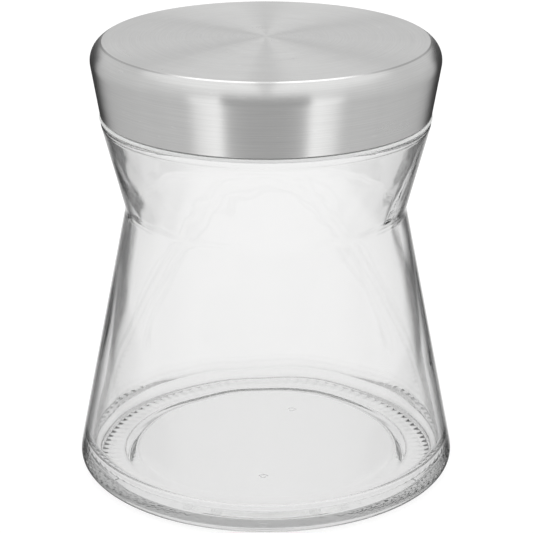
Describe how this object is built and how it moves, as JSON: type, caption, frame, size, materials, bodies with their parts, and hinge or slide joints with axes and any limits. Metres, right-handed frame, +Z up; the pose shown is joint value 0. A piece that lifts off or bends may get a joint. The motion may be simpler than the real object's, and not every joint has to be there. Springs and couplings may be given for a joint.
{
  "type": "coin bank jar",
  "caption": "Waisted clear glass jar with a quarter-turn brushed steel lid, for keeping coins or dry goods.",
  "frame": {"origin": "middle of the ring that the jar stands on, at the table", "axes": "+Z up along the jar's axis, towards the lid"},
  "size_m": [0.1228, 0.1228, 0.1428],
  "materials": {
    "clear_glass": "clear moulded flint glass, fire-polished, with a knurled standing ring",
    "brushed_steel": "brushed in circles on the top and round the side",
    "milky_plastic": "milky natural polypropylene, satin moulded",
    "soft_silicone": "soft translucent white silicone, matt"
  },
  "bodies": {
    "jar": {"glass_jar": "clear_glass"},
    "seal": {"sealing_ring": "soft_silicone"},
    "lid": {"lid_shell": "brushed_steel", "lid_liner": "milky_plastic"}
  },
  "joints": [
    {"name": "lid_lift", "type": "slide", "parent": "jar", "child": "seal", "axis": [0, 0, 1], "range_m": [0, 0.0601]},
    {"name": "lid_turn", "type": "hinge", "parent": "seal", "child": "lid", "pos_m": [0, 0, 0.118], "axis": [0, 0, 1], "range_deg": [0, 1350]}
  ],
  "couplings": [
    {"joint": "lid_lift", "follows": "lid_turn", "m_per_rad": 0.0025465}
  ]
}
